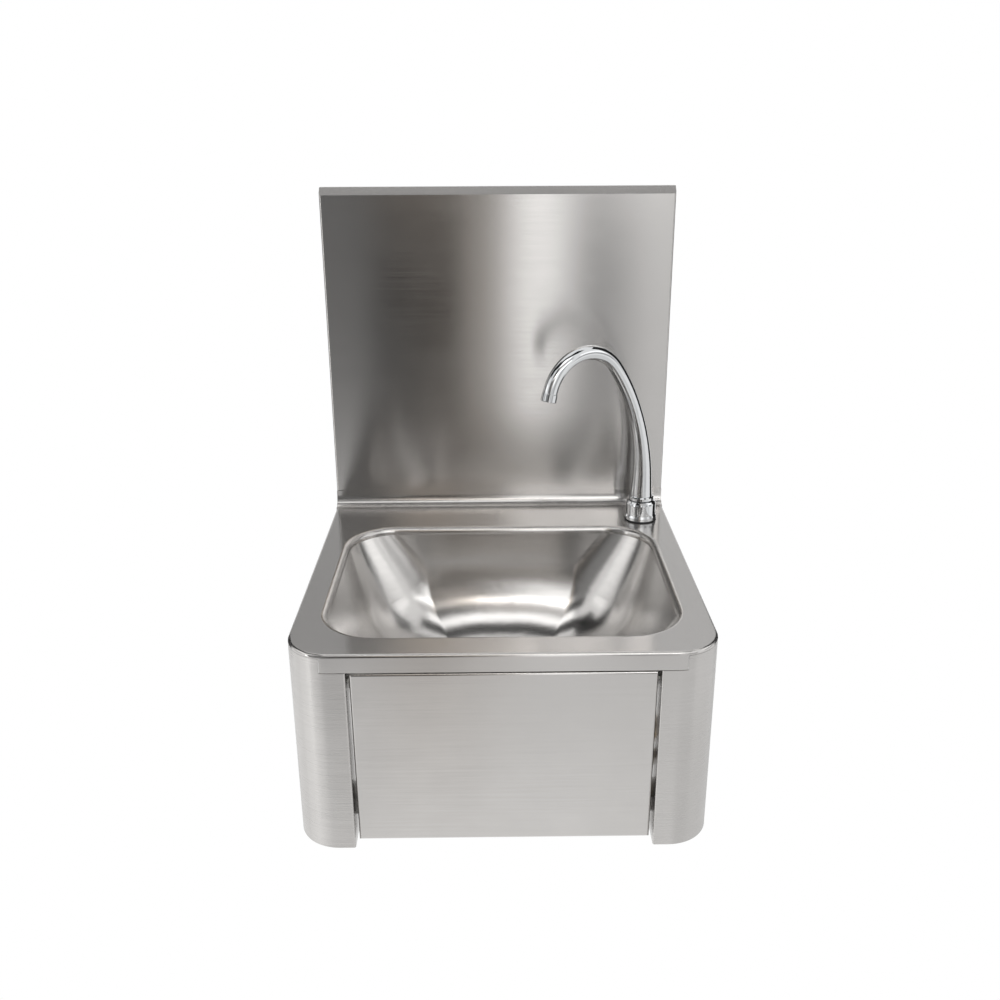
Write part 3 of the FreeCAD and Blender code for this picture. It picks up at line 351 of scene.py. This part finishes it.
def band(name, at, axis, slot, paint, inner, outer, width):
    """A painted ring on an axis."""
    axis = Vector(axis)
    profile = [(inner, 0), (outer, 0), (outer, width), (inner, width)]
    frames = []
    for i in range(RING_STEPS):
        out = outward(axis, 2 * math.pi * i / RING_STEPS)
        frames.append([at + out * radius + axis * along for radius, along in profile])
    add_piece(name, swept(frames, True), "basin", slot, paint, 0.2 * MM)


def rounded_path(half_x, half_y, corner, centre_y, height, step):
    """Points round a rectangle with rounded corners, with the outward direction at each."""
    path = []
    for k, (sx, sy) in enumerate(((1, -1), (1, 1), (-1, 1), (-1, -1))):
        hub = Vector((sx * (half_x - corner), centre_y + sy * (half_y - corner), height))
        first = -90 + 90 * k
        arc = int(math.radians(90) * corner / step)
        for i in range(arc + 1):
            angle = math.radians(first + 90 * i / arc)
            out = Vector((math.cos(angle), math.sin(angle), 0))
            path.append((hub + out * corner, out))
        far = half_y - corner if k % 2 == 0 else half_x - corner
        last, out = path[-1]
        along = Vector((-out.y, out.x, 0))
        run = int(2 * far / step)
        path += [(last + along * (2 * far * i / run), out) for i in range(1, run)]
    return path


def weld(name, path, radius, slot, paint):
    """A bead along a closed path, with the fine ripples of a weld."""
    turn = [2 * math.pi * k / BEAD_SIDES for k in range(BEAD_SIDES)]
    frames = []
    for i, (point, out) in enumerate(path):
        r = radius * (1 + RIPPLE * math.sin(RIPPLE_ANGLE * i))
        frames.append([point + out * (r * math.cos(a)) + Vector((0, 0, r * math.sin(a))) for a in turn])
    add_piece(name, swept(frames, True), "basin", slot, paint)


def raised(name, outline, at, body, slot, height, bevel):
    """A flat outline (x, y) about a point, raised along Z by the height."""
    frames = [[at + Vector((x, y, z)) for x, y in outline] for z in (0, height)]
    add_piece(name, swept(frames, False), body, slot, bevel=bevel)


def add_threads():
    """The threads that the solids leave plain: waste tail, spout shank, inlets and valve neck."""
    low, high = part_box("waste_body")
    thread("waste_tail_thread", on_axis("waste_body", 0), UPWARD, "black_plastic",
           radius=20.95 * MM, start=low[2] + 2 * MM, end=high[2] - 14 * MM, pitch=2.3 * MM)
    foot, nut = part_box("tap_shank")[0][2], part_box("tap_backnut")[0][2]
    thread("shank_thread", on_axis("tap_shank", 0), UPWARD, "brass",
           radius=10.5 * MM, start=foot + 2 * MM, end=nut - 1 * MM, pitch=1.5 * MM)
    for name, node, side in (("cold_thread", "inlet_cold", -1), ("hot_thread", "inlet_hot", 1)):
        low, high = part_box(node)
        end = low[0] if side < 0 else high[0]
        thread(name, Vector((end, middle(node).y, middle(node).z)), (-side, 0, 0), "brass",
               radius=10.3 * MM, start=1.5 * MM, end=11 * MM, pitch=1.8 * MM)
    neck = middle("valve_locknut")
    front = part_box("valve_body")[0][1]
    thread("valve_neck_thread", Vector((neck.x, front, neck.z)), (0, 1, 0), "brass",
           radius=12.5 * MM, start=1.8 * MM, end=5.2 * MM, pitch=1.4 * MM)


def add_marks():
    """Paint rings on the mixer, blue at the cold inlet and red at the hot one, and the knob's pointer."""
    axis = middle("valve_locknut")
    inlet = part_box("inlet_hot")[0][0]
    from_inlet = 6 * MM
    reach = abs(inlet - axis.x) - from_inlet
    for name, side, paint in (("mark_cold", -1, MARK_BLUE), ("mark_hot", 1, MARK_RED)):
        at = Vector((axis.x + side * reach, middle("mixer_body").y, axis.z))
        band(name, at, (side, 0, 0), "black_plastic", paint, inner=7.9 * MM, outer=8.7 * MM, width=4 * MM)
    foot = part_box("mixer_knob")[0][2]
    half, near, far = 0.8 * MM, 1 * MM, 9 * MM
    bar = [(-half, near), (half, near), (half, far), (-half, far)]
    below = 0.5 * MM  # how far it stands out under the knob
    raised("knob_pointer", bar, on_axis("mixer_knob", foot - below), "temperature_knob", "white_nylon",
           height=0.6 * MM, bevel=0.2 * MM)


def add_screw_head():
    """The waste screw's head gets two raised halves with the driver's slot between them."""
    head_r, slot_half, arc_steps = 4.4, 0.7, 16  # mm, mm and a count
    sunk = 0.1 * MM
    at = on_axis("waste_screw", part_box("waste_screw")[1][2] - sunk)
    reach = math.acos(slot_half / head_r)
    angles = [reach * (2 * i / arc_steps - 1) for i in range(arc_steps + 1)]
    for name, side in (("screw_head_left", -1), ("screw_head_right", 1)):
        half = [(side * head_r * MM * math.cos(a), head_r * MM * math.sin(a)) for a in angles]
        raised(name, half, at, "basin", "fixing_steel", height=0.9 * MM, bevel=0.15 * MM)


def add_welds():
    """The bowl is welded to the deck's turned lip, seen only from below."""
    low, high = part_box("wash_bowl")
    half_x, half_y = (high[0] - low[0]) / 2, (high[1] - low[1]) / 2
    lip_corner, step = 53.2 * MM, 0.9 * MM
    path = rounded_path(half_x, half_y, lip_corner, middle("wash_bowl").y, high[2], step)
    weld("rim_weld", path, 1.0 * MM, "bowl_steel", WELD)


add_threads()
add_marks()
add_screw_head()
add_welds()


# ---------------------------------------------------------------- studio
FLOOR_SIZE = 30
FLOOR_HEIGHT = -0.85
FRONT_WIDTH = 3.2
FRONT_HEIGHT = 4.2
FRONT_CENTRE = -0.84 + FRONT_HEIGHT / 2  # height of the front card's middle
WARM_AT, WARM_REACH = -0.13, 0.17  # where across the front card its warm patch lies, and how wide
WARM_LOW, WARM_HIGH, WARM_FROM = 0.04, 0.18, -0.5  # its strength below and above this height


def panel_mesh(name, width, height):
    mesh = bpy.data.meshes.new(name)
    w, h = width / 2, height / 2
    mesh.from_pydata([(-w, -h, 0), (w, -h, 0), (w, h, 0), (-w, h, 0)], [], [(0, 1, 2, 3)])
    thing = bpy.data.objects.new(name, mesh)
    bpy.context.scene.collection.objects.link(thing)
    return thing


def face_to(thing, at, target):
    thing.location = at
    thing.rotation_euler = (Vector(target) - Vector(at)).to_track_quat("-Z", "Y").to_euler()


def white_where_seen(g, soft, white):
    """The white shader where the camera or a reflection looks, and the soft one for everything else."""
    path = g.add("ShaderNodeLightPath")
    seen = g.math("MAXIMUM", path.outputs["Is Camera Ray"], path.outputs["Is Glossy Ray"])
    seen = g.math("MAXIMUM", seen, path.outputs["Is Transmission Ray"])
    mix = g.add("ShaderNodeMixShader")
    g.put(mix.inputs[0], seen)
    g.put(mix.inputs[1], soft.outputs[0])
    g.put(mix.inputs[2], white.outputs[0])
    g.put(g.surface, mix.outputs[0])


def make_floor():
    floor = panel_mesh("floor", FLOOR_SIZE, FLOOR_SIZE)
    floor.location = (0, 0, FLOOR_HEIGHT)
    g = material_graph("floor_white")
    paint = g.add("ShaderNodeBsdfDiffuse")
    g.put(paint.inputs["Color"], grey(0.80))
    glow = g.add("ShaderNodeEmission")
    g.put(glow.inputs["Strength"], 1.0)
    white_where_seen(g, paint, glow)
    floor.data.materials.append(g.owner)


def make_world():
    world = bpy.data.worlds.new("studio")
    bpy.context.scene.world = world
    g = Graph(world, "ShaderNodeOutputWorld")
    soft, white = g.add("ShaderNodeBackground"), g.add("ShaderNodeBackground")
    for node, shade, strength in ((soft, 0.80, 0.8), (white, 1.0, 1.0)):
        g.put(node.inputs["Color"], grey(shade))
        g.put(node.inputs["Strength"], strength)
    white_where_seen(g, soft, white)


def ramp(g, value, stops):
    node = g.add("ShaderNodeValToRGB")
    g.put(node.inputs["Fac"], value)
    node.color_ramp.interpolation = "EASE"
    elements = node.color_ramp.elements
    for i, (place, shade) in enumerate(stops):
        element = elements[i] if i < 2 else elements.new(place)
        element.position = place
        element.color = shade
    return node.outputs["Color"]


# The card behind the camera, in bands from the floor up. Each stop is a place across the card, in metres
# from its middle, and a grey. The foot is the lowest band. Each other one starts at a height and blends in
# over a distance above and below it.
FRONT_FOOT = [(-1.0, 0.92), (-0.35, 0.84), (-0.15, 0.76), (0.1, 0.76), (0.3, 0.78), (1.0, 0.74)]
FRONT_BANDS = [
    (-0.56, 0.06, [(-0.75, 0.35), (-0.40, 0.45), (-0.28, 0.55), (-0.13, 0.52), (0.0, 0.76), (0.2, 0.78),
                   (0.42, 0.70), (1.2, 0.80)]),
    (-0.28, 0.10, [(-0.75, 0.30), (-0.36, 0.16), (-0.25, 0.03), (-0.12, 0.04), (-0.03, 0.36), (0.11, 1.45),
                   (0.27, 0.30), (0.42, 0.80), (1.2, 0.50)]),
    (0.46, 0.12, [(-0.75, 0.25), (-0.34, 0.12), (-0.21, 0.50), (0.01, 0.16), (0.08, 1.50), (0.15, 1.30),
                  (0.30, 1.8), (0.55, 1.2), (0.9, 0.65)]),
    (0.99, 0.04, [(-0.75, 0.40), (-0.38, 1.00), (-0.19, 1.80), (0.0, 3.9), (0.20, 4.4), (1.2, 3.0)]),
    (1.22, 0.06, [(-0.6, 0.02), (-0.3, 0.10), (0.0, 0.60), (1.0, 0.60)]),
    (2.10, 0.15, [(-1.0, 1.00), (1.0, 1.00)]),
]


def front_glow(g):
    """The wall behind the camera: dark and warm left of the middle, a bright window, and a bright band
    high up."""
    here = g.apart(g.position())
    across = g.span(here["X"], -FRONT_WIDTH / 2, FRONT_WIDTH / 2)

    def band_of(stops, warmth):
        return ramp(g, across, [
            (x / FRONT_WIDTH + 0.5, grey(y, warmth * max(0, 1 - abs(x - WARM_AT) / WARM_REACH)))
            for x, y in stops
        ])

    light = band_of(FRONT_FOOT, WARM_LOW)
    for height, blend, stops in FRONT_BANDS:
        edge = height - FRONT_CENTRE
        share = g.span(here["Y"], edge - blend, edge + blend)
        light = g.mix(share, light, band_of(stops, WARM_HIGH if height > WARM_FROM else WARM_LOW))
    return light


def back_glow(g):
    """Behind the splashback: dim on the left and brighter on the right, seen from the camera."""
    return g.mix(g.span(g.apart(g.position())["X"], -0.5, 0.5), grey(0.62), grey(0.36))


def side_glow(g):
    """Beside the basin: dim low down, and a bright patch above for the bowl's corners."""
    return g.mix(g.span(g.apart(g.position())["Y"], -0.06, 0.06), grey(0.45), grey(1.5))


def make_card(name, size, at, target, light):
    """A studio card that only the metal's reflections see, in one grey or in a glow made by a function."""
    card = panel_mesh(name, *size)
    face_to(card, at, target)
    g = material_graph(name + "_paint")
    paint = g.add("ShaderNodeEmission")
    g.put(paint.inputs["Color"], light(g) if callable(light) else light)
    g.put(g.surface, paint.outputs[0])
    card.data.materials.append(g.owner)
    card.visible_camera = False
    card.visible_diffuse = False
    card.visible_shadow = False


def make_lamp(name, size, at, target, power):
    data = bpy.data.lights.new(name, "AREA")
    data.shape = "RECTANGLE"
    data.size, data.size_y = size
    data.energy = power
    lamp = bpy.data.objects.new(name, data)
    bpy.context.scene.collection.objects.link(lamp)
    face_to(lamp, at, target)


# Cards: name, width and height, place, what it faces, grey or glow.
DARK = grey(0.02)
CARDS = [
    ("card_front", (FRONT_WIDTH, FRONT_HEIGHT), (0, -1.45, FRONT_CENTRE), (0, 0, FRONT_CENTRE), front_glow),
    ("card_back", (5.0, 1.6), (0, 2.2, 1.4), (0, 0, 0.2), back_glow),
    ("card_over", (2.4, 0.66), (0, -0.42, 2.0), (0, -0.42, 0), DARK),
    ("card_left", (0.75, 1.5), (-0.9, 0.34, 0.38), (0.1, -0.1, 0.2), DARK),
    ("card_right", (0.75, 1.5), (0.9, 0.34, 0.38), (0.15, -0.1, 0.2), DARK),
    ("card_flag", (0.7, 0.7), (-0.8, -0.1, 1.25), (0.1, -0.15, 0.25), DARK),
    ("card_side_left", (0.46, 0.56), (-1.1, -0.40, 0.42), (0.1, -0.20, 0.0), side_glow),
    ("card_side_right", (0.46, 0.56), (1.0, -0.36, 0.38), (-0.1, -0.20, 0.0), side_glow),
    ("card_low_right", (1.8, 2.6), (1.35, -0.3, -0.80), (1.35, -0.3, 0), grey(0.80)),
    ("card_low_left", (1.0, 1.2), (-1.2, -0.9, -0.80), (-1.2, -0.9, 0), grey(1.12)),
]
# Lamps: name, width and height, place, what it faces, watts.
LAMPS = [
    ("top", (1.5, 0.42), (0, -1.03, 1.9), (0, -0.3, 0.0), 2.0),
    ("fill", (0.8, 0.8), (-1.7, -1.6, 0.1), (0, -0.3, 0.0), 4.0),
]

make_floor()
make_world()
for card in CARDS:
    make_card(*card)
for lamp in LAMPS:
    make_lamp(*lamp)
bpy.context.scene.view_settings.view_transform = "Standard"
